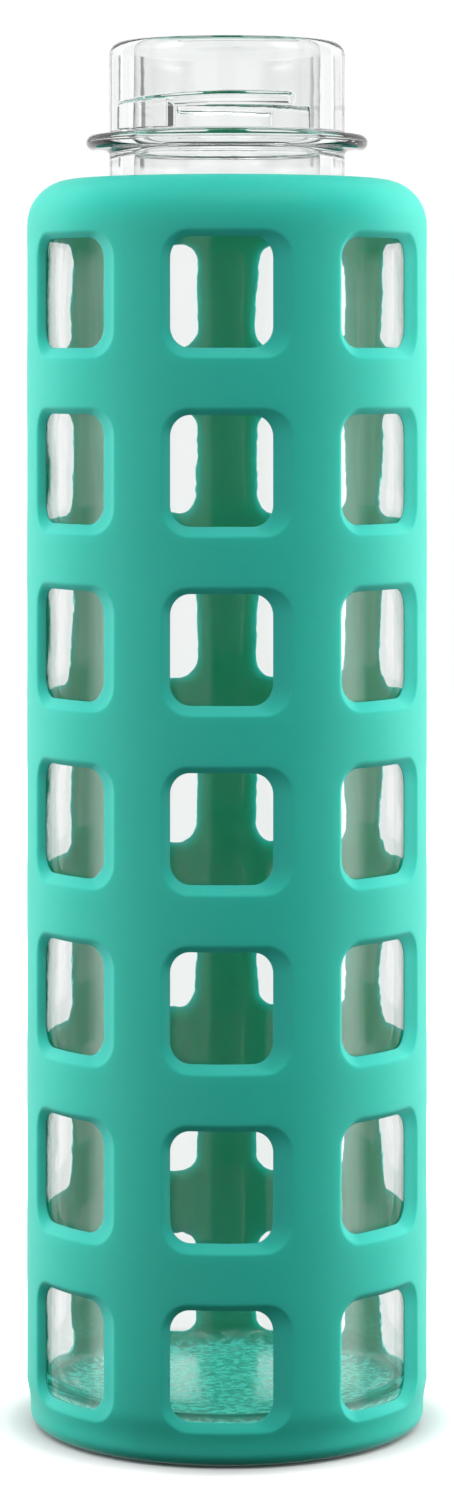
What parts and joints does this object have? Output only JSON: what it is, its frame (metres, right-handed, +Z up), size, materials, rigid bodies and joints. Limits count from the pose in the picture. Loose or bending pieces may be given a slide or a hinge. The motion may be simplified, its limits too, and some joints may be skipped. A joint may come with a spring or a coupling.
{
  "type": "glass water bottle",
  "caption": "Straight-sided clear glass water bottle with a collared, partly threaded neck, in a close-fitting silicone sleeve cut with rows of rounded-square windows.",
  "frame": {"origin": "centre of the underside, on the surface the bottle stands on", "axes": "+Z up along the bottle's axis to its mouth; -Y towards the front column of windows; +X to the right seen from the front"},
  "size_m": [0.071, 0.0708, 0.2444],
  "materials": {
    "clear_glass": "polished, flint clear, lightly stippled inside the base",
    "teal_silicone": "satin moulded silicone"
  },
  "bodies": {
    "root": {"glass_bottle": "clear_glass", "silicone_sleeve": "teal_silicone"}
  },
  "joints": []
}
